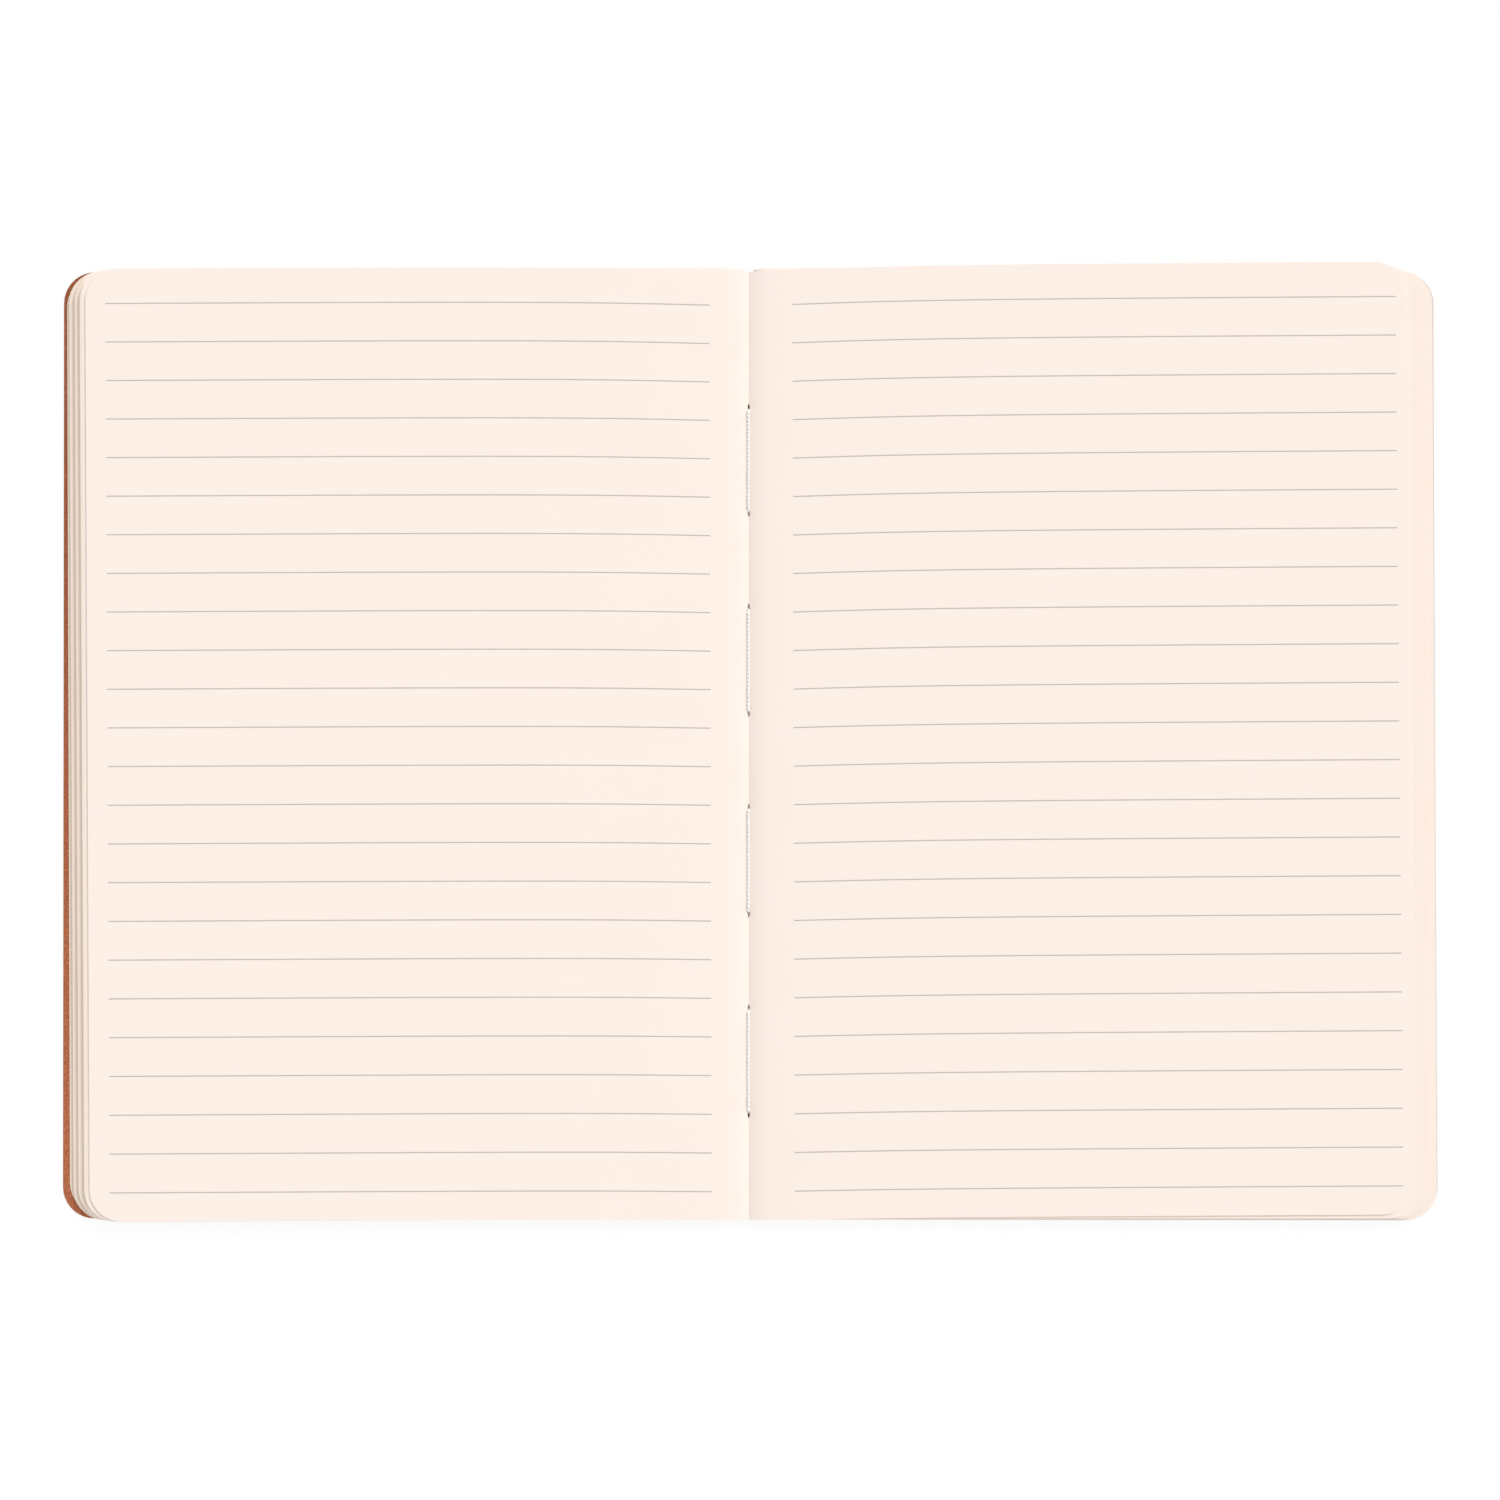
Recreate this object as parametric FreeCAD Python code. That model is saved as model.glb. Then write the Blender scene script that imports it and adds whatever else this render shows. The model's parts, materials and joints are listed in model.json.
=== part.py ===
"""An open, thread-sewn notebook with a soft cover, lying flat at the middle of a section.

X runs across the spread, Y towards the head of the page and Z up from the table. The model is
drawn with the gutter on x = 0 and is moved at the end, so that the middle of its box is the origin.
"""

import FreeCAD
import Part
import math
import os

Vector = FreeCAD.Vector

# Driving dimensions, in millimetres.

# Leaves: the trimmed page, its rounded fore-edge corners, the paper and how it is gathered
page_height = 210.0
top_page_width = 145.7
corner_radius = 7.0
paper_thickness = 0.12
leaves_per_section = 10
full_sections = 3

# The lower sections reach further out, because their folds lie further along the spine
left_edge_step = 1.75
right_edge_step = 2.1

# Each section lies a little nearer the tail than the one above it, and is turned a little less
# from square with the cover
tail_step = 0.25
section_turn_degrees = 0.12

# Cover, pasted endpaper and spine lining
cover_thickness = 0.7
cover_edge_round = 0.25
front_square = 1.3
back_square = 0.2
endpaper_thickness = 0.15
endpaper_margin = 0.9
lining_thickness = 0.2
lining_setback = 0.4

# Gutter: how the top page sinks into the fold, first steeply and then in a long slow curve
steep_drop_share = 0.56
steep_reach = 2.5
slow_reach = 40.0
fold_paper = 0.5
curve_spans = 9
curve_crowding = 2.2

# Sewing: one thread that runs inside the fold and outside it by turns
thread_diameter = 0.8
thread_sides = 10
thread_bend_radius = 0.6
stitch_length = 22.2
stitch_pitch = 44.3
stitch_count = 4
stitch_row_offset = -3.6
hole_length = 1.9
hole_width = 0.95
fold_notch_radius = 0.25

# Clearances
closed_gap = 0.15
crease_gap = 0.1
seat_gap = 0.05
block_gap = 0.1

# Derived levels
section_thickness = leaves_per_section * paper_thickness
cover_radius = cover_thickness / 2
stack_bottom = cover_thickness + endpaper_thickness
stack_thickness = (full_sections + 0.5) * section_thickness
stack_top = stack_bottom + stack_thickness
lining_top = cover_thickness + lining_thickness
thread_radius = thread_diameter / 2
outer_run_z = lining_top + seat_gap + thread_radius
gutter_floor_z = outer_run_z + thread_radius + seat_gap
gutter_z = gutter_floor_z + fold_paper
inner_run_z = gutter_z + seat_gap + thread_radius

# Derived places across the spread
crease_x = stack_top - cover_radius + closed_gap
spine_half_width = crease_x - cover_radius - crease_gap
block_inner_x = crease_x + cover_radius + lining_thickness + block_gap
fold_half_width = block_inner_x - block_gap
thread_channel_half_width = thread_radius + seat_gap + block_gap

# Points nearer each other than this are one
same_place = 1e-6

# Derived places along the page
half_height = page_height / 2
tail_drop = full_sections * tail_step


def page_level(x):
    """Height of the top page at a distance x from the gutter."""
    drop = stack_top - gutter_z
    steep = steep_drop_share * drop * math.exp(-x / steep_reach)
    slow = (1 - steep_drop_share) * drop * math.exp(-x / slow_reach)
    return stack_top - steep - slow


def stack_level(x, share):
    """Height of the surface under which a share of the stack lies."""
    return stack_bottom + share * (page_level(x) - stack_bottom)


def page_curve(side, inner_x, outer_x, share):
    """Edge across the page along one surface of the stack, its points crowded where it bends."""
    span = outer_x - inner_x
    points = []
    for step in range(curve_spans + 1):
        x = inner_x + span * (step / curve_spans) ** curve_crowding
        points.append(Vector(side * x, 0, stack_level(x, share)))
    curve = Part.BSplineCurve()
    curve.interpolate(points)
    return curve.toShape()


def line(start, end):
    return Part.makeLine(start, end)


def outline_prism(side, inner_x, outer_x, low_y, high_y, bottom_z, top_z):
    """Flat blank with square corners towards the gutter and round ones at the fore-edge.

    Leaves, endpapers and cover are trimmed in one cut, so they all have the same corner.
    """
    radius = corner_radius
    bend = radius * (1 - math.sqrt(0.5))
    inner_low = Vector(side * inner_x, low_y, bottom_z)
    inner_high = Vector(side * inner_x, high_y, bottom_z)
    low_start = Vector(side * (outer_x - radius), low_y, bottom_z)
    low_middle = Vector(side * (outer_x - bend), low_y + bend, bottom_z)
    low_end = Vector(side * outer_x, low_y + radius, bottom_z)
    high_start = Vector(side * outer_x, high_y - radius, bottom_z)
    high_middle = Vector(side * (outer_x - bend), high_y - bend, bottom_z)
    high_end = Vector(side * (outer_x - radius), high_y, bottom_z)
    edges = [
        line(inner_low, low_start),
        Part.Arc(low_start, low_middle, low_end).toShape(),
        line(low_end, high_start),
        Part.Arc(high_start, high_middle, high_end).toShape(),
        line(high_end, inner_high),
        line(inner_high, inner_low),
    ]
    face = Part.Face(Part.Wire(edges))
    return face.extrude(Vector(0, 0, top_z - bottom_z))


def leaf_group(side, order, edge_step):
    """One section's leaves on one side of the gutter, order 0 being the open half section."""
    sections_below = full_sections - order
    sections_on_side = full_sections + 0.5
    top_share = min(sections_below + 1, sections_on_side) / sections_on_side
    bottom_share = sections_below / sections_on_side
    outer_x = top_page_width + order * edge_step
    widest_x = top_page_width + full_sections * edge_step
    top_edge = page_curve(side, block_inner_x, widest_x, top_share)
    bottom_edge = page_curve(side, block_inner_x, widest_x, bottom_share)
    inner_edge = line(bottom_edge.valueAt(bottom_edge.FirstParameter),
                      top_edge.valueAt(top_edge.FirstParameter))
    outer_edge = line(bottom_edge.valueAt(bottom_edge.LastParameter),
                      top_edge.valueAt(top_edge.LastParameter))
    profile = Part.Face(Part.Wire([bottom_edge, outer_edge, top_edge, inner_edge]))
    low_y = -half_height + sections_below * tail_step
    high_y = low_y + page_height
    profile.translate(Vector(0, low_y - page_height, 0))
    band = profile.extrude(Vector(0, 3 * page_height, 0))
    blank = outline_prism(side, 0, outer_x, low_y, high_y, 0, 2 * stack_top)
    blank.rotate(Vector(0, 0, 0), Vector(0, 0, 1), sections_below * section_turn_degrees)
    return band.common(blank)


def leaf_block(side, edge_step):
    """All the leaves that lie on one cover, with their stepped fore-edge."""
    groups = [leaf_group(side, order, edge_step) for order in range(full_sections + 1)]
    block = groups[0].multiFuse(groups[1:])
    return block.removeSplitter()


def cover_reach(edge_step, square):
    return top_page_width + full_sections * edge_step + square


def cover_board(side, edge_step, square):
    """One flap of the soft cover, with a round edge on the crease that it turns about."""
    outer_x = cover_reach(edge_step, square)
    board = outline_prism(
        side, crease_x, outer_x, -half_height, half_height, 0, cover_thickness)
    rim = [edge for edge in board.Edges if is_rim(edge, side * crease_x)]
    board = board.makeFillet(cover_edge_round, rim)
    nose = Part.makeCylinder(
        cover_radius, page_height, Vector(side * crease_x, -half_height, cover_radius),
        Vector(0, 1, 0))
    return board.fuse(nose).removeSplitter()


def is_rim(edge, crease):
    """True for the edges round the top and bottom faces, other than those at the crease."""
    start = edge.Vertexes[0].Point
    end = edge.Vertexes[-1].Point
    level = abs(start.z - end.z) < same_place
    at_crease = abs(start.x - crease) < same_place and abs(end.x - crease) < same_place
    return level and not at_crease


def endpaper(side, edge_step, square, margin):
    """Paper pasted to the inside of a cover flap."""
    outer_x = cover_reach(edge_step, square) - margin
    low_y = -half_height + margin
    return outline_prism(
        side, block_inner_x, outer_x, low_y, -low_y, cover_thickness, stack_bottom)


def spine_cover():
    """The strip of the cover between the two creases."""
    strip = Part.makeBox(
        2 * spine_half_width, page_height, cover_thickness,
        Vector(-spine_half_width, -half_height, 0))
    long_edges = [
        edge for edge in strip.Edges
        if abs(edge.Vertexes[0].Y - edge.Vertexes[-1].Y) > half_height
    ]
    return strip.makeFillet(cover_edge_round, long_edges)


def spine_lining():
    """Cloth glued inside the spine, which the section folds are bedded on."""
    half_width = spine_half_width - lining_setback
    return Part.makeBox(
        2 * half_width, page_height, lining_thickness,
        Vector(-half_width, -half_height, cover_thickness))


def stitch_stations():
    """Head and tail end of each run inside the fold, from the head down."""
    stations = []
    for index in range(stitch_count):
        middle = stitch_row_offset + stitch_pitch * ((stitch_count - 1) / 2 - index)
        stations.append((middle + stitch_length / 2, middle - stitch_length / 2))
    return stations


def thread_corner(y, z, along_y, along_z):
    """Quarter bend of the thread's centre line where it turns through the fold."""
    bend = thread_bend_radius
    inset = bend * (1 - math.sqrt(0.5))
    run_point = Vector(0, y + along_y * bend, z)
    leg_point = Vector(0, y, z + along_z * bend)
    middle = Vector(0, y + along_y * inset, z + along_z * inset)
    return run_point, middle, leg_point


def thread_path():
    """Centre line of the one thread, which passes through the fold at each pierced hole."""
    stations = stitch_stations()
    leg_foot_z = lining_top + seat_gap
    corners = []
    for index, (head, tail) in enumerate(stations):
        if index > 0:
            run, middle, leg = thread_corner(head, outer_run_z, 1, 1)
            corners.append((run, middle, leg))
        run, middle, leg = thread_corner(head, inner_run_z, -1, -1)
        corners.append((leg, middle, run))
        run, middle, leg = thread_corner(tail, inner_run_z, 1, -1)
        corners.append((run, middle, leg))
        if index < len(stations) - 1:
            run, middle, leg = thread_corner(tail, outer_run_z, -1, 1)
            corners.append((leg, middle, run))
    place = Vector(0, stations[0][0], leg_foot_z)
    edges = []
    for start, middle, end in corners:
        if place.distanceToPoint(start) > same_place:
            edges.append(line(place, start))
        edges.append(Part.Arc(start, middle, end).toShape())
        place = end
    edges.append(line(place, Vector(0, stations[-1][1], leg_foot_z)))
    return Part.Wire(edges)


def sewing_thread():
    """The thread as one solid, laid along its path. Its flats keep the small bends plain."""
    path = thread_path()
    start = path.Vertexes[0].Point
    corners = []
    for index in range(thread_sides + 1):
        turn = 2 * math.pi * index / thread_sides
        corners.append(start + Vector(math.sin(turn), math.cos(turn), 0) * thread_radius)
    section = Part.makePolygon(corners)
    return path.makePipeShell([section], True, False)


def pierced_hole(y, outward):
    """Oblong cutter for one hole, drawn out towards the side that the thread pulls from."""
    radius = hole_width / 2
    straight = hole_length - hole_width
    bottom = lining_top
    height = page_level(hole_length) - bottom + thread_diameter
    near = Vector(0, y, bottom)
    far = Vector(0, y + outward * straight, bottom)
    hole = Part.makeCylinder(radius, height, near)
    hole = hole.fuse(Part.makeCylinder(radius, height, far))
    low_y = min(near.y, far.y)
    return hole.fuse(Part.makeBox(hole_width, straight, height, Vector(-radius, low_y, bottom)))


def fold_profile():
    """End view of the folded inner ends of all the leaves, between the two blocks."""
    bottom_z = lining_top + seat_gap
    right_curve = page_curve(1, 0, fold_half_width, 1)
    left_curve = page_curve(-1, 0, fold_half_width, 1)
    right_top = right_curve.valueAt(right_curve.LastParameter)
    left_top = left_curve.valueAt(left_curve.LastParameter)
    right_foot = Vector(fold_half_width, 0, bottom_z)
    left_foot = Vector(-fold_half_width, 0, bottom_z)
    right_lip = Vector(thread_channel_half_width, 0, bottom_z)
    left_lip = Vector(-thread_channel_half_width, 0, bottom_z)
    right_arch = Vector(thread_channel_half_width, 0, outer_run_z)
    left_arch = Vector(-thread_channel_half_width, 0, outer_run_z)
    arch_top = Vector(0, 0, gutter_floor_z)
    edges = [
        right_curve,
        line(right_top, right_foot),
        line(right_foot, right_lip),
        line(right_lip, right_arch),
        Part.Arc(right_arch, arch_top, left_arch).toShape(),
        line(left_arch, left_lip),
        line(left_lip, left_foot),
        line(left_foot, left_top),
        left_curve,
    ]
    return Part.Face(Part.Wire(Part.__sortEdges__(edges)))


def sewn_folds():
    """The sewn inner ends of the leaves: the gutter, its pierced holes and the notches below."""
    profile = fold_profile()
    length = page_height + tail_drop
    profile.translate(Vector(0, -half_height, 0))
    folds = profile.extrude(Vector(0, length, 0))
    cutters = []
    for index in range(1, full_sections + 1):
        notch_x = thread_channel_half_width + index * section_thickness
        for side in (-1, 1):
            cutters.append(Part.makeCylinder(
                fold_notch_radius, length,
                Vector(side * notch_x, -half_height, lining_top + seat_gap), Vector(0, 1, 0)))
    for head, tail in stitch_stations():
        cutters.append(pierced_hole(head, 1))
        cutters.append(pierced_hole(tail, -1))
        groove_start = Vector(0, tail, inner_run_z)
        cutters.append(Part.makeCylinder(
            thread_radius + seat_gap, head - tail, groove_start, Vector(0, 1, 0)))
    return folds.cut(cutters)


def build_parts():
    """Every piece of the notebook, drawn about the gutter."""
    return {
        "front_cover": cover_board(-1, left_edge_step, front_square),
        "spine_cover": spine_cover(),
        "back_cover": cover_board(1, right_edge_step, back_square),
        "spine_lining": spine_lining(),
        "front_endpaper": endpaper(-1, left_edge_step, front_square, endpaper_margin),
        "back_endpaper": endpaper(1, right_edge_step, back_square, back_square),
        "left_leaves": leaf_block(-1, left_edge_step),
        "right_leaves": leaf_block(1, right_edge_step),
        "sewn_folds": sewn_folds(),
        "sewing_thread": sewing_thread(),
    }


def export_parts(parts):
    """Move the model so that the middle of its footprint is the origin, and write each piece."""
    box = FreeCAD.BoundBox()
    for shape in parts.values():
        box.add(shape.optimalBoundingBox(False, False))
    shift = Vector(-box.Center.x, -box.Center.y, -box.ZMin)
    os.makedirs("parts", exist_ok=True)
    for name, shape in parts.items():
        shape.translate(shift)
        shape.exportStep(f"parts/{name}.step")
        print(f"{name}: {len(shape.Solids)} solid, {shape.Volume:.1f} mm3, valid {shape.isValid()}")
    print(f"box {box.XLength:.2f} x {box.YLength:.2f} x {box.ZLength:.2f} mm")
    print(f"shift {shift.x:.4f}, {shift.y:.4f}, {shift.z:.4f} mm")
    for side in (-1, 1):
        print(f"crease at x {side * crease_x + shift.x:.4f}, z {cover_radius + shift.z:.4f} mm")


export_parts(build_parts())
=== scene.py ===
import json
import math
import random

import bmesh
import bpy
from mathutils import Matrix, Vector


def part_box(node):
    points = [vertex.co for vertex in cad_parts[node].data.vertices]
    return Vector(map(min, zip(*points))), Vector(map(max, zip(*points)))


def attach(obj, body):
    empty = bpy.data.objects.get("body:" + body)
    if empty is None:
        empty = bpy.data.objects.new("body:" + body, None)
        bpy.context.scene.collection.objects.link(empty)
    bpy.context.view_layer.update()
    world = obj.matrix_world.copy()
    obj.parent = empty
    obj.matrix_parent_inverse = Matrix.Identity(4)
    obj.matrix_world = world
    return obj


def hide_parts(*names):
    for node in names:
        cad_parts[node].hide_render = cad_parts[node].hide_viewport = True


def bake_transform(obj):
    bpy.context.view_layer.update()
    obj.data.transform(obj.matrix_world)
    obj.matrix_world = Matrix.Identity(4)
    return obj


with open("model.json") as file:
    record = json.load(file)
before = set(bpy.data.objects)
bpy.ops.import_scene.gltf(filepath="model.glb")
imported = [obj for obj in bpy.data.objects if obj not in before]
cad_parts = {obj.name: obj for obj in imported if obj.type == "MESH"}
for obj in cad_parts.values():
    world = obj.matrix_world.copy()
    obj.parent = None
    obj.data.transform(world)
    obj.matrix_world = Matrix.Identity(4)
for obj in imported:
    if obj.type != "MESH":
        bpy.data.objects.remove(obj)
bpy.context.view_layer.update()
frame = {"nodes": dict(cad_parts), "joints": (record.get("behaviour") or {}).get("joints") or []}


# The cover is one soft sheet of rust-orange leatherette: a flap on each side and a narrow spine
# strip between two pressed creases. The grain runs on over the creases.
# The front flap's fore-edge was trimmed a little askew.
mm = 0.001
sides = {"left": -1, "right": 1}
cover_node = {"left": "front_cover", "right": "back_cover"}
cover_low, cover_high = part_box("spine_cover")
cover_half_length = (cover_high.y - cover_low.y) / 2
cover_middle_y = (cover_high.y + cover_low.y) / 2
cover_thickness = cover_high.z - cover_low.z
cover_middle_z = cover_low.z + cover_thickness / 2
corner_radius = 7.0 * mm
corner_steps = 9
straight_share = 0.9
trim_skew = {"left": 0.0021, "right": 0.0}
cover_edge_round = 0.22 * mm
cut_edge_angle = math.radians(60)
same_place = 0.01 * mm
crease_press = 0.13 * mm
crease_press_width = 0.45 * mm
crease_bend_half = 0.95 * mm
crease_zone = 3 * mm
rim_zone = 22 * mm


class Value:
    """One output of a material's node. Sums with it add the Math nodes that work them out."""

    def __init__(self, socket):
        self.socket = socket

    def math(self, operation, *numbers):
        made = self.socket.id_data.nodes.new("ShaderNodeMath")
        made.operation = operation
        for place, number in zip(made.inputs, numbers):
            connect(number, place)
        return Value(made.outputs[0])

    def __add__(self, other):
        return self.math("ADD", self, other)

    def __radd__(self, other):
        return self.math("ADD", other, self)

    def __sub__(self, other):
        return self.math("SUBTRACT", self, other)

    def __rsub__(self, other):
        return self.math("SUBTRACT", other, self)

    def __mul__(self, other):
        return self.math("MULTIPLY", self, other)

    def __rmul__(self, other):
        return self.math("MULTIPLY", other, self)

    def __truediv__(self, other):
        return self.math("DIVIDE", self, other)

    def __abs__(self):
        return self.math("ABSOLUTE", self)

    def __gt__(self, other):
        return self.math("GREATER_THAN", self, other)

    def __lt__(self, other):
        return self.math("LESS_THAN", self, other)

    def smaller(self, other):
        return self.math("MINIMUM", self, other)

    def larger(self, other):
        return self.math("MAXIMUM", self, other)

    def rounded(self):
        return self.math("ROUND", self)


def connect(value, place):
    """Give a socket a number, a colour or another node's output."""
    if isinstance(value, Value):
        place.id_data.links.new(value.socket, place)
    else:
        place.default_value = value


class Finish:
    """A material and the one way that its nodes are added."""

    def __init__(self, name, **uniform):
        self.material = bpy.data.materials.new(name)
        self.material.use_nodes = True
        self.nodes = self.material.node_tree.nodes
        self.shader = self.nodes["Principled BSDF"]
        for socket, value in uniform.items():
            self.shader.inputs[socket.replace("_", " ")].default_value = value

    def node(self, kind, settings, sockets, output=0):
        made = self.nodes.new("ShaderNode" + kind)
        for name, setting in settings.items():
            setattr(made, name, setting)
        for name, value in sockets.items():
            connect(value, made.inputs[name])
        return Value(made.outputs[output])

    def ramp(self, value, low, high):
        """Smooth step from 0 to 1 while the value goes from low to high."""
        return self.node(
            "MapRange", {"interpolation_type": "SMOOTHSTEP"},
            {"Value": value, "From Min": low, "From Max": high})

    def tint(self, share, first, second):
        """Colour that goes from the first to the second as the share goes from 0 to 1."""
        return self.node("Mix", {"data_type": "RGBA"}, {0: share, 6: first, 7: second}, 2)

    def noise(self, place, size, detail=2.0, roughness=0.5):
        """Cloudy pattern from 0 to 1, with patches of about the given size."""
        return self.node(
            "TexNoise", {},
            {"Vector": place, "Scale": 1 / size, "Detail": detail, "Roughness": roughness})

    def flat_place(self):
        """Place on the sheet as it lies flat, in metres, which stays put when the sheet bends."""
        return self.node("UVMap", {"uv_map": "flat"}, {})

    def relief(self, height, depth):
        """Feed the shader a bump of a real depth in metres."""
        normal = self.node("Bump", {}, {"Height": height, "Distance": depth})
        connect(normal, self.shader.inputs["Normal"])

    def finish(self, colour, roughness):
        connect(colour, self.shader.inputs["Base Color"])
        connect(roughness, self.shader.inputs["Roughness"])
        return self.material


def leatherette():
    rust = (0.36, 0.080, 0.016, 1)
    tail_orange = (0.60, 0.180, 0.062, 1)
    dark_pore = (0.19, 0.038, 0.008, 1)
    rubbed = (0.70, 0.30, 0.13, 1)
    reach = 152.2 * mm
    pebble_size = 0.85 * mm
    fine_pebble_size = 0.36 * mm
    wander_size = 2.5 * mm
    wander_reach = 0.5 * mm
    made = Finish("cover_leatherette", Coat_Weight=0.06, Coat_Roughness=0.35)
    place = made.flat_place()
    across = made.node("SeparateXYZ", {}, {"Vector": place}, 0)
    along = made.node("SeparateXYZ", {}, {"Vector": place}, 1)
    wander = made.node(
        "TexNoise", {}, {"Vector": place, "Scale": 1 / wander_size, "Detail": 2.0}, 1)
    bent_place = made.node(
        "VectorMath", {"operation": "MULTIPLY_ADD"},
        {0: wander, 1: (wander_reach, wander_reach, wander_reach), 2: place})
    pebble = made.node(
        "TexVoronoi", {"feature": "DISTANCE_TO_EDGE"},
        {"Vector": bent_place, "Scale": 1 / pebble_size}, "Distance")
    fine_pebble = made.node(
        "TexVoronoi", {"feature": "DISTANCE_TO_EDGE"},
        {"Vector": bent_place, "Scale": 1 / fine_pebble_size}, "Distance")
    cell = made.ramp(pebble, 0.02, 0.22)
    fine_cell = made.ramp(fine_pebble, 0.02, 0.3)
    grain = cell * 0.7 + fine_cell * 0.3
    clouds = made.noise(place, 38 * mm, 3.0)
    # The orange is darker at the head and lighter towards the tail.
    tail_share = made.ramp(along, 90 * mm, -95 * mm)
    edge = (reach - abs(across)).smaller(cover_half_length - abs(along - cover_middle_y))
    rub_noise = made.noise(place, 3.5 * mm, 4.0, 0.65)
    rub = made.ramp(edge + (rub_noise - 0.5) * (1.6 * mm), 0.9 * mm, -0.1 * mm)
    crease_off = abs(abs(across) - crease_x)
    crease_rub = made.ramp(crease_off + (rub_noise - 0.5) * (0.8 * mm), 0.55 * mm, 0.0)
    scuff = made.ramp(made.noise(place, 9 * mm, 6.0, 0.7), 0.60, 0.78) * 0.22
    colour = made.tint(tail_share * 0.8 + (clouds - 0.4) * 0.5, rust, tail_orange)
    colour = made.tint((1 - grain) * 0.55, colour, dark_pore)
    worn = (rub * 0.22).larger(crease_rub * 0.3).larger(scuff) * (0.35 + grain * 0.65)
    colour = made.tint(worn, colour, rubbed)
    made.relief(grain + clouds * 0.3, 0.055 * mm)
    return made.finish(colour, 0.46 + (1 - grain) * 0.2 + worn * 0.12 - (clouds - 0.5) * 0.1)


def corner_rows(half_length, radius, extra=()):
    """Places along the page from tail to head, each with how far its round corner is set in."""
    rows = {}
    for step in range(corner_steps + 1):
        turn = math.pi / 2 * step / corner_steps
        along = half_length - radius + radius * math.sin(turn)
        for end in (-1, 1):
            rows[round(end * along, 7)] = radius * (1 - math.cos(turn))
    straight = half_length - radius
    for along in extra:
        if abs(along) < straight:
            rows[round(along, 7)] = 0.0
    return sorted(rows.items())


def lay_grid(bm, columns, rows, place_of):
    """Lay a grid of vertices on a surface. place_of gives a vertex its place and its flat place."""
    flat = bm.loops.layers.uv.get("flat") or bm.loops.layers.uv.new("flat")
    made = bmesh.ops.create_grid(bm, x_segments=columns - 1, y_segments=rows - 1, size=1)
    for vertex in made["verts"]:
        column = round((vertex.co.x + 1) / 2 * (columns - 1))
        row = round((vertex.co.y + 1) / 2 * (rows - 1))
        vertex.co, spot = place_of(column, row)
        for loop in vertex.link_loops:
            loop[flat].uv = spot


def spread(start, end, count, crowding=1.0):
    """Evenly spaced values, or values crowded towards the start."""
    return [start + (end - start) * (step / (count - 1)) ** crowding for step in range(count)]


def straight_places(half_length, count):
    """Even places along the page between its round corners."""
    return spread(-straight_share * half_length, straight_share * half_length, count)


def as_piece(bm, name, material, smooth=True):
    """Turn the worked mesh into an object at the origin."""
    mesh = bpy.data.meshes.new(name)
    bm.to_mesh(mesh)
    bm.free()
    mesh.materials.append(material)
    for polygon in mesh.polygons:
        polygon.use_smooth = smooth
    piece = bpy.data.objects.new(name, mesh)
    bpy.context.scene.collection.objects.link(piece)
    return piece


def thicken(piece, thickness):
    """Give a sheet its thickness, half to each side, and turn its faces outwards."""
    modifier = piece.modifiers.new("thickness", "SOLIDIFY")
    modifier.thickness = thickness
    modifier.offset = 0.0
    modifier.use_even_offset = False
    shaped = piece.evaluated_get(bpy.context.evaluated_depsgraph_get())
    mesh = bpy.data.meshes.new_from_object(shaped)
    piece.modifiers.clear()
    old = piece.data
    piece.data = mesh
    bpy.data.meshes.remove(old)
    mesh.name = piece.name
    bm = bmesh.new()
    bm.from_mesh(mesh)
    bmesh.ops.recalc_face_normals(bm, faces=bm.faces)
    bm.to_mesh(mesh)
    bm.free()


joints = {joint["name"]: joint for joint in frame["joints"]}
spine_middle_x = (cover_low.x + cover_high.x) / 2
crease_x = abs(joints["back_cover_crease"]["pos_m"][0] - spine_middle_x)
cover_seam = crease_x - crease_bend_half
cover_material = leatherette()


def press_creases(bm):
    """Pinch the sheet from both faces along the two creases."""
    for vertex in bm.verts:
        off = abs(abs(vertex.co.x - spine_middle_x) - crease_x)
        pinch = crease_press * math.exp(-(off / crease_press_width) ** 2)
        height = (vertex.co.z - cover_middle_z) / (cover_thickness / 2)
        vertex.co.z -= pinch * height


def round_rim(bm, seams):
    """Round the rim where the sheet was cut, but not where two pieces of it meet."""
    rim = []
    for edge in bm.edges:
        at_seam = any(
            all(abs(vertex.co.x - seam) < same_place for vertex in edge.verts) for seam in seams)
        level = abs(edge.verts[0].co.z - edge.verts[1].co.z) < same_place
        if level and not at_seam and edge.calc_face_angle(0) > cut_edge_angle:
            rim.append(edge)
    bmesh.ops.bevel(
        bm, geom=rim, offset=cover_edge_round, affect="EDGES", segments=3, profile=0.5, material=-1)


def cover_sheet(name, start_x, end_x, rows, columns, seams):
    """One cut of the cover sheet, from start to end across the spread."""
    bm = bmesh.new()
    side = 1 if end_x >= start_x else -1
    taper_start = abs(end_x - start_x) - rim_zone

    def place_of(column, row):
        along, inset = rows[row]
        off = columns[column]
        if inset and off > taper_start:
            whole = abs(end_x - start_x) - taper_start
            off = taper_start + (off - taper_start) * (whole - inset) / whole
        x = start_x + side * off
        y = cover_middle_y + along
        return Vector((x, y, cover_middle_z)), (x - spine_middle_x, y)

    lay_grid(bm, len(columns), len(rows), place_of)
    bmesh.ops.recalc_face_normals(bm, faces=bm.faces)
    piece = as_piece(bm, name, cover_material)
    thicken(piece, cover_thickness)
    bm = bmesh.new()
    bm.from_mesh(piece.data)
    round_rim(bm, seams)
    press_creases(bm)
    bm.to_mesh(piece.data)
    bm.free()
    for polygon in piece.data.polygons:
        polygon.use_smooth = True
    return piece


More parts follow.
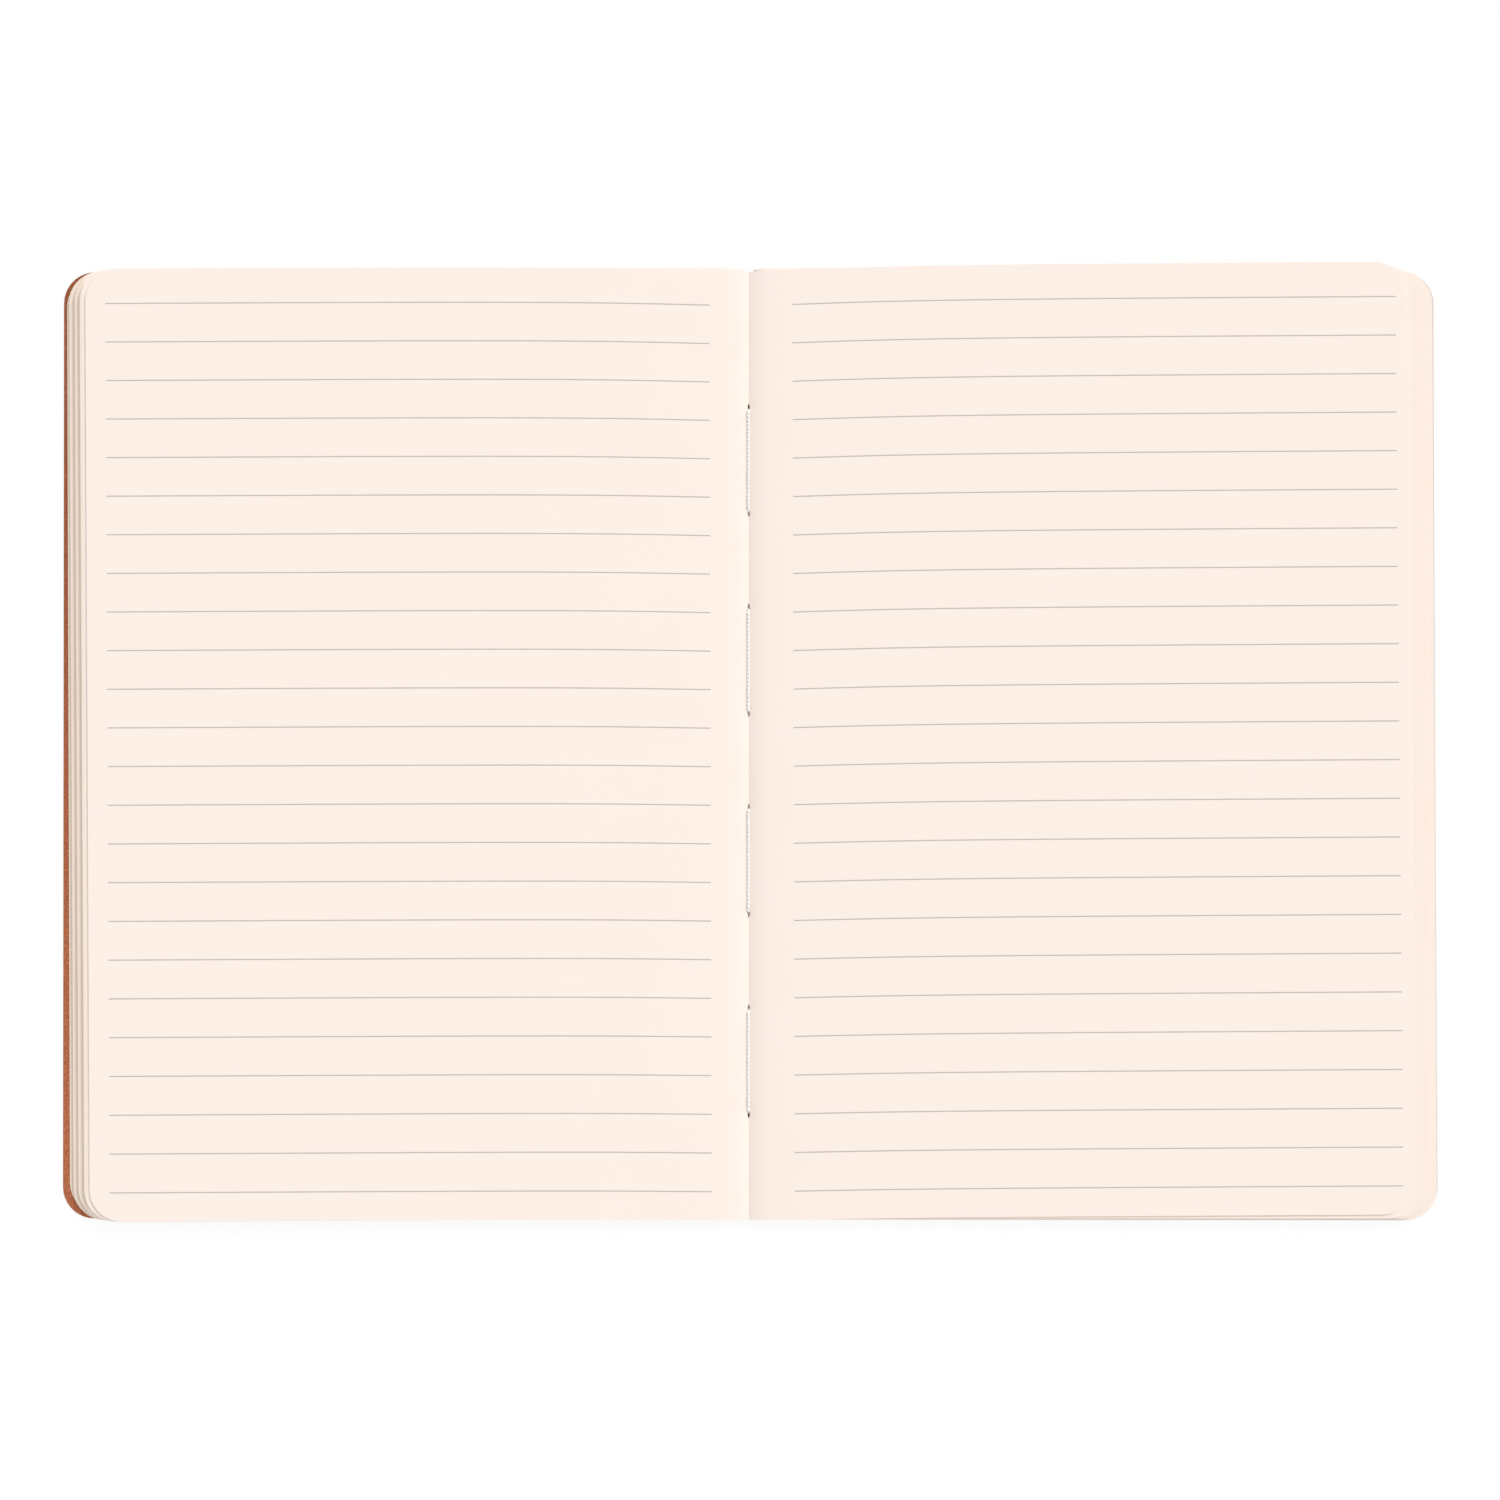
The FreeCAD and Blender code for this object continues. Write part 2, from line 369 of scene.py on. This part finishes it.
def cover_flap(side_name):
    """One flap of the cover, from its seam with the spine strip out to the fore-edge."""
    side = sides[side_name]
    low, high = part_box(cover_node[side_name])
    outer_x = low.x if side < 0 else high.x
    seam_x = spine_middle_x + side * cover_seam
    whole = abs(outer_x - seam_x)
    bend = spread(0, crease_zone, 16)
    board = spread(bend[-1], whole - rim_zone, 9)[1:]
    rim = spread(board[-1], whole, 8)[1:]
    straight = straight_places(cover_half_length, 15)
    rows = [
        (along, inset + trim_skew[side_name] * (cover_half_length - along))
        for along, inset in corner_rows(cover_half_length, corner_radius, straight)]
    columns = bend + board + rim
    piece = cover_sheet(
        cover_node[side_name] + "_sheet", seam_x, outer_x, rows, columns, [seam_x])
    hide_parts(cover_node[side_name])
    crease = spine_middle_x + side * crease_x
    crease - side * crease_bend_half
    crease + side * crease_bend_half
    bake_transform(piece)


for side_name in sides:
    cover_flap(side_name)

spine_left = spine_middle_x - cover_seam
spine_right = spine_middle_x + cover_seam
spine_rows = [(along, 0.0) for along in spread(-cover_half_length, cover_half_length, 25)]
spine_strip = cover_sheet(
    "spine_cover_sheet", spine_left, spine_right, spine_rows, spread(0, 2 * cover_seam, 15),
    [spine_left, spine_right])
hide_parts("spine_cover")
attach(spine_strip, "spine")


# The lining is a strip of open-weave cloth glued inside the spine; the folds of the sections are
# glued down on it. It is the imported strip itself, with a woven finish.
def lining_cloth():
    thread_spacing = 0.45 * mm
    flax = (0.80, 0.75, 0.64, 1)
    gap = (0.42, 0.36, 0.27, 1)
    pale_slub = (0.9, 0.86, 0.78, 1)
    made = Finish("spine_lining_cloth")
    place = made.node("TexCoord", {}, {}, "Object")
    across = made.node("SeparateXYZ", {}, {"Vector": place}, 0)
    along = made.node("SeparateXYZ", {}, {"Vector": place}, 1)
    turn = 2 * math.pi / thread_spacing
    warp = across.math("SINE", across * turn)
    weft = along.math("SINE", along * turn)
    weave = (warp * weft) * 0.5 + 0.5
    slub = made.noise(place, 1.2 * mm, 3.0)
    colour = made.tint(made.ramp(weave, 0.1, 0.6), gap, flax)
    colour = made.tint((slub - 0.4) * 0.4, colour, pale_slub)
    made.relief(weave, 0.12 * mm)
    return made.finish(colour, 0.9 - slub * 0.1)


frame["nodes"]["spine_lining"].data.materials.clear()
frame["nodes"]["spine_lining"].data.materials.append(lining_cloth())


# An endpaper is pasted over the inside of each flap: heavier, plain paper, a shade deeper than
# the leaves. The front one lies a little askew with the leaves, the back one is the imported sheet.
def plain_paper():
    peach = (0.93, 0.80, 0.69, 1)
    deeper = (0.88, 0.73, 0.60, 1)
    made = Finish("endpaper")
    place = made.node("TexCoord", {}, {}, "Object")
    fibre = made.noise(place, 0.45 * mm, 4.0, 0.7)
    clouds = made.noise(place, 30 * mm, 2.0)
    colour = made.tint(made.ramp(fibre, 0.3, 0.8) * 0.35 + (clouds - 0.3) * 0.5, peach, deeper)
    made.relief(fibre, 0.02 * mm)
    return made.finish(colour, 0.82 + fibre * 0.12)


endpaper_material = plain_paper()
frame["nodes"]["back_endpaper"].data.materials.clear()
frame["nodes"]["back_endpaper"].data.materials.append(endpaper_material)

front_set_in = 0.52 * mm
front_slant = math.radians(0.38)
front_low, front_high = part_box("front_endpaper")
front_middle = (front_low + front_high) / 2
front_rows = corner_rows(front_high.y - front_middle.y, corner_radius)
front_columns = spread(0, 1, 9)


def front_endpaper_place(column, row):
    along, inset = front_rows[row]
    outer_x = front_low.x + front_set_in - front_slant * along + inset
    x = front_high.x + (outer_x - front_high.x) * front_columns[column]
    return Vector((x, front_middle.y + along, front_middle.z)), (x, along)


bm = bmesh.new()
lay_grid(bm, len(front_columns), len(front_rows), front_endpaper_place)
front_sheet = as_piece(bm, "front_endpaper_sheet", endpaper_material, smooth=False)
thicken(front_sheet, front_high.z - front_low.z)
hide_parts("front_endpaper")
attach(front_sheet, "front")


# The leaves are folded sheets of ivory writing paper, gathered in sections. Three whole sections lie
# on each side, their folds on the spine lining, and the middle one is open with its fold upwards.
leaf_thickness = 0.085 * mm
leaves_on_side = 35
leaves_in_section = 10
sheets_in_section = leaves_in_section // 2
whole_sections = 3
first_reach = 145.65 * mm
section_step = {"left": 1.42 * mm, "right": 2.03 * mm}
section_lean = 0.5 * mm
open_section_lean = 0.2 * mm
lower_turn_share = {"left": 1.0, "right": 0.45}
tail_step = 0.25 * mm
lowest_turn = {"left": math.radians(0.05), "right": math.radians(-0.045)}
lowest_slant = {"left": math.radians(0.45), "right": math.radians(0.10)}
top_turn = {"left": math.radians(0.33), "right": math.radians(0.31)}
top_slant = {"left": math.radians(0.47), "right": math.radians(0.33)}
leaf_stray = 0.03 * mm
turn_stray = 0.0002
lower_pull = 0.25
turn_start = 22.0 * mm
join_x = 6.0 * mm
fold_tilt = (2, 30, 54)
fold_x = (4.5 * mm, 2.95 * mm, 1.55 * mm)
fold_z = (1.36 * mm, 1.45 * mm, 1.5 * mm)
fold_start_pull = (1.2, 1.2, 1.0)
fold_end_pull = 0.9
fold_gap = 0.088 * mm
middle_fold_gap = 0.1 * mm
middle_fold_depth = sheets_in_section * middle_fold_gap
fold_edge_angle = math.radians(50)
steep_drop_share = 0.48
steep_reach = 2.2 * mm
slow_reach = 38.0 * mm
tail_pull_depth = 0.86 * mm
tail_pull_growth = 0.18 * mm
tail_pull_width = 25 * mm
seat_gap = 0.05 * mm
thread_diameter = 0.8 * mm
hole_half_length = 0.95 * mm
hole_half_width = 0.40 * mm
hole_taper = 0.5
hole_opening_width = 2 * mm
pucker_depth = 0.10 * mm
pucker_across = 1.1 * mm
pucker_along = 2.2 * mm
stitch_count = 4
stitch_length = 22.2 * mm

stack_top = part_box("left_leaves")[1].z
stack_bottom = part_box("front_endpaper")[1].z
thread_low, thread_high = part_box("sewing_thread")
folds_low, folds_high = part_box("sewn_folds")
gutter_x = (thread_low.x + thread_high.x) / 2
gutter_z = thread_high.z - thread_diameter - seat_gap
page_half_length = (folds_high.y - folds_low.y - whole_sections * tail_step) / 2
top_page_y = folds_high.y - page_half_length
stitch_row_y = (thread_low.y + thread_high.y) / 2
stitch_pitch = (thread_high.y - thread_low.y - thread_diameter - stitch_length) / (stitch_count - 1)
stitch_middles = [
    stitch_row_y + stitch_pitch * ((stitch_count - 1) / 2 - index) for index in range(stitch_count)]
hole_places = []
for middle in stitch_middles:
    hole_places.append(middle + stitch_length / 2 + hole_half_length / 2)
    hole_places.append(middle - stitch_length / 2 - hole_half_length / 2)


def smooth_step(share):
    share = min(max(share, 0.0), 1.0)
    return share * share * (3 - 2 * share)


def page_level(x):
    """Height of the open page at a distance x from the gutter."""
    drop = stack_top - gutter_z
    steep = steep_drop_share * drop * math.exp(-x / steep_reach)
    slow = (1 - steep_drop_share) * drop * math.exp(-x / slow_reach)
    return stack_top - steep - slow


def stack_level(x, share):
    """Height of the surface under which a share of the leaves lies."""
    return stack_bottom + share * (page_level(x) - stack_bottom)


def leaf_level(x, leaf):
    """Height of the middle of one leaf, leaf 0 being the lowest."""
    return stack_level(x, (leaf + 0.5) / leaves_on_side)


def tail_pull(x, along):
    """How far the paper sinks towards the tail where it dips into the gutter."""
    pull = tail_pull_depth + tail_pull_growth * along / page_half_length
    return pull / (1 + (x / tail_pull_width) ** 2)


def fold_run(section, place):
    """Points from a leaf's fold out to where the stack lies flat, in the plane across the spine."""
    tilt = math.radians(fold_tilt[section])
    off = (place - (leaves_in_section - 1) / 2) * fold_gap
    start = Vector((fold_x[section] - math.sin(tilt) * off, fold_z[section] + math.cos(tilt) * off))
    leaf = section * leaves_in_section + place
    end = Vector((join_x, leaf_level(join_x, leaf)))
    slope = leaf_level(join_x + mm, leaf) - leaf_level(join_x, leaf)
    reach = (end - start).length
    leave = Vector((math.cos(tilt), math.sin(tilt))) * reach * fold_start_pull[section]
    arrive = Vector((mm, slope)).normalized() * reach * fold_end_pull
    points = []
    for t in spread(0, 1, 11):
        points.append(
            (2 * t ** 3 - 3 * t ** 2 + 1) * start + (t ** 3 - 2 * t ** 2 + t) * leave
            + (3 * t ** 2 - 2 * t ** 3) * end + (t ** 3 - t ** 2) * arrive)
    return points


def fold_turn(section, place):
    """Half circle that joins a leaf to the other leaf of its sheet, round the back of the fold."""
    tilt = math.radians(fold_tilt[section])
    radius = ((leaves_in_section - 1) / 2 - place) * fold_gap
    centre = Vector((fold_x[section], fold_z[section]))
    points = []
    for turn in spread(-0.5 * math.pi, -1.5 * math.pi, 9)[1:-1]:
        angle = tilt + turn
        points.append(centre + radius * Vector((math.cos(angle), math.sin(angle))))
    return points


taper = 15 * mm
flat_run = spread(join_x, first_reach - taper, 10, 1.5)[1:]
rim_run = spread(0, 1, 7)[1:]


class Leaf:
    """One leaf of the stack on one side, with its own slight misplacement."""

    def __init__(self, side_name, leaf, chance):
        self.side = sides[side_name]
        self.leaf = leaf
        section = min(leaf // leaves_in_section, whole_sections)
        order = whole_sections - section
        rise = section / whole_sections
        below_top = leaves_in_section - 1 - leaf % leaves_in_section
        lean = section_lean * below_top / leaves_in_section
        self.pull = lower_pull * rise
        if order:
            rise *= lower_turn_share[side_name]
        else:
            below_top -= sheets_in_section
            lean = open_section_lean * below_top / sheets_in_section
            self.pull = 1.0
        self.reach = first_reach + order * section_step[side_name] + lean + chance.gauss(0, leaf_stray)
        self.middle_y = top_page_y - order * tail_step + chance.gauss(0, leaf_stray)
        stray = chance.gauss(0, turn_stray)
        self.turn = (1 - rise) * lowest_turn[side_name] + rise * top_turn[side_name] + stray
        self.slant = (1 - rise) * lowest_slant[side_name] + rise * top_slant[side_name] + stray

    def spot(self, x, z, along):
        """Where a point of the leaf goes, and its flat place for the ruling."""
        lift = self.turn * self.side * x
        slant = self.slant * along * smooth_step(x / turn_start)
        y = self.middle_y + along - self.pull * tail_pull(x, along) + lift
        return Vector((gutter_x + self.side * x - slant, y, z)), (self.side * x, along)

    def rim_place(self, share, inset):
        start = first_reach - taper
        return start + (self.reach - inset - start) * share

    def out_run(self):
        """Places along the flat part of the leaf: fixed ones, then shares of its round rim."""
        return [("fixed", x) for x in flat_run] + [("rim", share) for share in rim_run]

    def out_place(self, step, along, inset):
        kind, amount = step
        x = amount if kind == "fixed" else self.rim_place(amount, inset)
        return self.spot(x, leaf_level(x, self.leaf), along)


def folded_sheet(bm, side_name, section, place, rows, chance):
    """A sheet folded once: its lower leaf, the fold and its upper leaf."""
    first = section * leaves_in_section
    lower = Leaf(side_name, first + place, chance)
    upper = Leaf(side_name, first + leaves_in_section - 1 - place, chance)
    upper.middle_y = lower.middle_y
    upper.turn = lower.turn
    upper.slant = lower.slant
    steps = []
    for step in reversed(lower.out_run()):
        steps.append((lower, step))
    for point in reversed(fold_run(section, place)):
        steps.append((lower, point))
    for point in fold_turn(section, place):
        steps.append((lower, point))
    for point in fold_run(section, leaves_in_section - 1 - place):
        steps.append((upper, point))
    for step in upper.out_run():
        steps.append((upper, step))

    def place_of(column, row):
        leaf, step = steps[column]
        along, inset = rows[row]
        if isinstance(step, Vector):
            return leaf.spot(step.x, step.y, along)
        return leaf.out_place(step, along, inset)

    lay_grid(bm, len(steps), len(rows), place_of)


def hole_edge(y):
    """How far a pierced hole opens the fold at a place along it."""
    for middle in hole_places:
        off = abs(y - middle) / hole_half_length
        if off < 1:
            return hole_half_width * math.sqrt(1 - off * off)
    return 0.0


def hole_pucker(x, y):
    """The paper is drawn down a little round each hole, where the thread pulls on it."""
    depth = 0.0
    for middle in hole_places:
        off = (x / pucker_across) ** 2 + ((y - middle) / pucker_along) ** 2
        depth += pucker_depth * math.exp(-off)
    return depth


def middle_leaf(bm, side_name, place, rows, chance):
    """Half a sheet of the open middle section, from the fold at the gutter to its fore-edge."""
    leaf = Leaf(side_name, whole_sections * leaves_in_section + place, chance)
    leaf.middle_y = top_page_y
    depth = (sheets_in_section - 1 - place + 0.5) * middle_fold_gap
    near = spread(0, join_x, 17, 1.7)[:-1] + [join_x]

    def place_of(column, row):
        along, inset = rows[row]
        if column >= len(near):
            return leaf.out_place(leaf.out_run()[column - len(near)], along, inset)
        x = near[column]
        fold_y = top_page_y + along - tail_pull(x, along)
        opening = hole_edge(fold_y) * (1 - hole_taper * depth / middle_fold_depth)
        x = x + opening * max(0.0, 1 - x / hole_opening_width)
        share = smooth_step(x / join_x)
        level = page_level(x) - depth - hole_pucker(x, fold_y) * (1 - share)
        return leaf.spot(x, level * (1 - share) + leaf_level(x, leaf.leaf) * share, along)

    lay_grid(bm, len(near) + len(leaf.out_run()), len(rows), place_of)


def ruled_paper():
    line_pitch = 8.522 * mm
    first_line = 97.3 * mm
    last_line = 23
    line_half = 0.158 * mm
    # Painted shade: the fore-edges of the lower leaves, beyond the top page, are tinted beige, far
    # more on the left side, which faces away from the lamp.
    painted_shade_from = 145.9 * mm
    painted_shade_width = 1.2 * mm
    painted_shade_share = {-1: 0.46, 1: 0.12}
    # Painted shadow: the outermost right fore-edge of the lowest leaves turns grey, standing in for
    # the shadow line at the foot of the stack.
    edge_shadow_from = 151.7 * mm
    ruled_from = {-1: 8.4 * mm, 1: 9.9 * mm}
    ruled_to = {-1: 141.3 * mm, 1: 143.4 * mm}
    ivory = (0.965, 0.855, 0.785, 1)
    warm = (0.950, 0.820, 0.735, 1)
    painted_shade_beige = (0.80, 0.67, 0.53, 1)
    edge_shadow_grey = (0.55, 0.51, 0.49, 1)
    ink = (0.49, 0.475, 0.44, 1)
    made = Finish("leaf_paper", Specular_IOR_Level=0.25)
    place = made.flat_place()
    across = made.node("SeparateXYZ", {}, {"Vector": place}, 0)
    along = made.node("SeparateXYZ", {}, {"Vector": place}, 1)
    count = (first_line - along) / line_pitch
    off = abs(count - count.rounded()) * line_pitch
    spread_noise = made.noise(place, 0.35 * mm, 2.0)
    line = made.ramp(off + (spread_noise - 0.5) * (0.05 * mm), line_half, line_half * 0.6)
    line = line * (count > -0.5) * (count < last_line + 0.5)
    ruled = 0.0
    for side in (-1, 1):
        middle = side * (ruled_from[side] + ruled_to[side]) / 2
        half = (ruled_to[side] - ruled_from[side]) / 2
        ruled = ruled + (abs(across - middle) < half)
    fibre = made.noise(place, 0.4 * mm, 5.0, 0.7)
    clouds = made.noise(place, 24 * mm, 2.0)
    colour = made.tint(made.ramp(fibre, 0.35, 0.75) * 0.16 + (clouds - 0.35) * 0.55, ivory, warm)
    # Painted shade on the lower leaves' fore-edges, stronger on the left side.
    for side in (-1, 1):
        out = made.ramp(across * side, painted_shade_from, painted_shade_from + painted_shade_width)
        colour = made.tint(out * painted_shade_share[side] * (0.75 + clouds * 0.5), colour, painted_shade_beige)
    # Painted shadow line along the outermost right fore-edge.
    colour = made.tint(made.ramp(across, edge_shadow_from, edge_shadow_from + 0.3 * mm) * 0.7, colour, edge_shadow_grey)
    colour = made.tint(line * ruled * (0.80 + spread_noise * 0.3), colour, ink)
    made.relief(fibre, 0.012 * mm)
    return made.finish(colour, 0.86 + fibre * 0.1 - line * 0.05)


paper = ruled_paper()
chance = random.Random(11)
plain_rows = corner_rows(page_half_length, corner_radius, straight_places(page_half_length, 7))
hole_offsets = [0.0, 0.3, 0.55, 0.75, 0.88, 0.96, 1.0, 1.35, 1.8, 2.6]
sewn_places = straight_places(page_half_length, 25)
for hole in hole_places:
    for offset in hole_offsets:
        for end in (-1, 1):
            sewn_places.append(hole - top_page_y + tail_pull(0, 0) + end * offset * hole_half_length)
sewn_rows = corner_rows(page_half_length, corner_radius, sewn_places)


def finish_leaves(bm, name, nodes):
    """Give the sheets their thickness and put them in place of the imported leaves."""
    piece = as_piece(bm, name, paper)
    thicken(piece, leaf_thickness)
    piece.data.set_sharp_from_angle(angle=fold_edge_angle)
    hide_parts(*nodes)
    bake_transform(piece)


for side_name in sides:
    leaves_node = side_name + "_leaves"
    for section in range(whole_sections):
        bm = bmesh.new()
        for place in range(sheets_in_section):
            folded_sheet(bm, side_name, section, place, plain_rows, chance)
        finish_leaves(bm, f"{side_name}_section_{section + 1}", [leaves_node])
    bm = bmesh.new()
    for place in range(sheets_in_section):
        middle_leaf(bm, side_name, place, sewn_rows, chance)
    finish_leaves(
        bm, side_name + "_middle_section", [leaves_node, "sewn_folds"])


# The sections are sewn with white two-ply thread. It runs inside the middle fold as four stitches
# and outside it between them, and passes through the fold at each pierced hole.
ply_radius = 0.215 * mm
ply_offset = 0.185 * mm
ply_twist = 1.75 * mm
thread_bend = 0.6 * mm
thread_step = 0.16 * mm
inner_run_z = thread_high.z - thread_diameter / 2
outer_run_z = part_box("spine_lining")[1].z + seat_gap + thread_diameter / 2
leg_foot_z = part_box("spine_lining")[1].z + seat_gap


def thread_route():
    """Corners of the thread's line in the gutter plane, from the head to the tail."""
    route = [(stitch_middles[0] + stitch_length / 2, leg_foot_z)]
    for index, middle in enumerate(stitch_middles):
        head = middle + stitch_length / 2
        tail = middle - stitch_length / 2
        if index:
            route.append((head, outer_run_z))
        route.append((head, inner_run_z))
        route.append((tail, inner_run_z))
        if index < stitch_count - 1:
            route.append((tail, outer_run_z))
    route.append((stitch_middles[-1] - stitch_length / 2, leg_foot_z))
    return [Vector((0, y, z)) for y, z in route]


def rounded_line(route, radius, step):
    """Points at even steps along the line, with its corners rounded."""
    line = [route[0]]
    for before, corner, after in zip(route, route[1:], route[2:]):
        back = (before - corner).normalized()
        ahead = (after - corner).normalized()
        centre = corner + (back + ahead) * radius
        for turn in spread(0, math.pi / 2, 9):
            line.append(centre - ahead * radius * math.cos(turn) - back * radius * math.sin(turn))
    line.append(route[-1])
    points = []
    for start, end in zip(line, line[1:]):
        count = max(1, round((end - start).length / step))
        for index in range(count):
            points.append(start.lerp(end, index / count))
    points.append(line[-1])
    return points


def thread_finish():
    bleached = (0.98, 0.975, 0.955, 1)
    shaded = (0.90, 0.88, 0.84, 1)
    made = Finish("sewing_thread", Sheen_Weight=0.3)
    place = made.node("TexCoord", {}, {}, "Object")
    fibre = made.noise(place, 0.09 * mm, 3.0, 0.7)
    colour = made.tint(fibre * 0.5, bleached, shaded)
    made.relief(fibre, 0.03 * mm)
    return made.finish(colour, 0.8 + fibre * 0.15)


def sewing_thread():
    """Twist two plies round the thread's line and make them one mesh."""
    points = rounded_line(thread_route(), thread_bend, thread_step)
    curve = bpy.data.curves.new("sewing_thread_plies", "CURVE")
    curve.dimensions = "3D"
    curve.bevel_depth = ply_radius
    curve.bevel_resolution = 2
    curve.use_fill_caps = True
    for ply in range(2):
        spline = curve.splines.new("POLY")
        spline.points.add(len(points) - 1)
        run = 0.0
        for index, point in enumerate(points):
            ahead = points[min(index + 1, len(points) - 1)]
            behind = points[max(index - 1, 0)]
            forward = (ahead - behind).normalized()
            up = Vector((0, -forward.z, forward.y))
            angle = 2 * math.pi * run / ply_twist + ply * math.pi
            place = point + Vector((math.cos(angle), 0, 0)) * ply_offset
            place = place + up * math.sin(angle) * ply_offset
            spline.points[index].co = (gutter_x + place.x, place.y, place.z, 1)
            run += (ahead - point).length
    rope = bpy.data.objects.new("sewing_thread_plies", curve)
    bpy.context.scene.collection.objects.link(rope)
    shaped = rope.evaluated_get(bpy.context.evaluated_depsgraph_get())
    mesh = bpy.data.meshes.new_from_object(shaped)
    bpy.data.objects.remove(rope)
    mesh.materials.clear()
    mesh.materials.append(thread_finish())
    for polygon in mesh.polygons:
        polygon.use_smooth = True
    piece = bpy.data.objects.new("twisted_thread", mesh)
    bpy.context.scene.collection.objects.link(piece)
    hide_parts("sewing_thread")
    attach(piece, "spine")


sewing_thread()


# The table is a plain white disc that takes a faint shadow, and the light is a pale room with one
# soft lamp from the upper right, so that a colour shows about as it is written.
table_width = 6.0
table_gap = 0.05 * mm
room_light = 0.71
lamp_light = 1.38
lamp_from = Vector((0.52, 0.50, 0.72))
lamp_spread = math.radians(24)
plain_white_share = 0.9


def white_table():
    made = Finish("table_white", Base_Color=(1, 1, 1, 1), Roughness=0.9, Specular_IOR_Level=0.0)
    seen = made.node("LightPath", {}, {}, "Is Camera Ray")
    mirrored = made.node("LightPath", {}, {}, "Is Glossy Ray")
    through = made.node("LightPath", {}, {}, "Is Transmission Ray")
    plain = seen.larger(mirrored).larger(through) * plain_white_share
    white = made.node("Emission", {}, {"Color": (1, 1, 1, 1), "Strength": 1.0})
    surface = made.nodes["Material Output"].inputs["Surface"]
    lit = Value(made.shader.outputs["BSDF"])
    connect(made.node("MixShader", {}, {0: plain, 1: lit, 2: white}), surface)
    return made.material


bm = bmesh.new()
bmesh.ops.create_circle(bm, cap_ends=True, segments=64, radius=table_width / 2)
bmesh.ops.translate(bm, verts=bm.verts, vec=(0, 0, -table_gap))
bmesh.ops.recalc_face_normals(bm, faces=bm.faces)
as_piece(bm, "table", white_table(), smooth=False)

world = bpy.data.worlds.new("pale_room")
bpy.context.scene.world = world
world.use_nodes = True
background = world.node_tree.nodes["Background"]
background.inputs["Color"].default_value = (1, 1, 1, 1)
light_path = world.node_tree.nodes.new("ShaderNodeLightPath")
seen = Value(light_path.outputs["Is Camera Ray"])
connect(seen * (1 - room_light) + room_light, background.inputs["Strength"])

lamp = bpy.data.lights.new("soft_lamp", "SUN")
lamp.energy = lamp_light
lamp.angle = lamp_spread
lamp_holder = bpy.data.objects.new("soft_lamp", lamp)
lamp_holder.rotation_euler = lamp_from.to_track_quat("Z", "Y").to_euler()
bpy.context.scene.collection.objects.link(lamp_holder)


# The camera hangs over the middle of the spread and looks almost straight down, leaning a little
# towards the head.
camera_distance = 640 * mm
camera_lens = 69.72
camera_lean = math.radians(0.8)
camera_aim = Vector((gutter_x + 0.29 * mm, top_page_y - 2.09 * mm, stack_top))
camera = bpy.data.cameras.new("camera")
camera.lens = camera_lens
camera.sensor_width = 36.0
camera.clip_start = 0.01
camera_holder = bpy.data.objects.new("camera", camera)
leaned = Matrix.Rotation(camera_lean, 4, "X")
camera_holder.matrix_world = Matrix.Translation(camera_aim) @ leaned @ Matrix.Translation(
    (0, 0, camera_distance))
bpy.context.scene.collection.objects.link(camera_holder)
bpy.context.scene.camera = camera_holder
bpy.context.scene.view_settings.view_transform = "Standard"
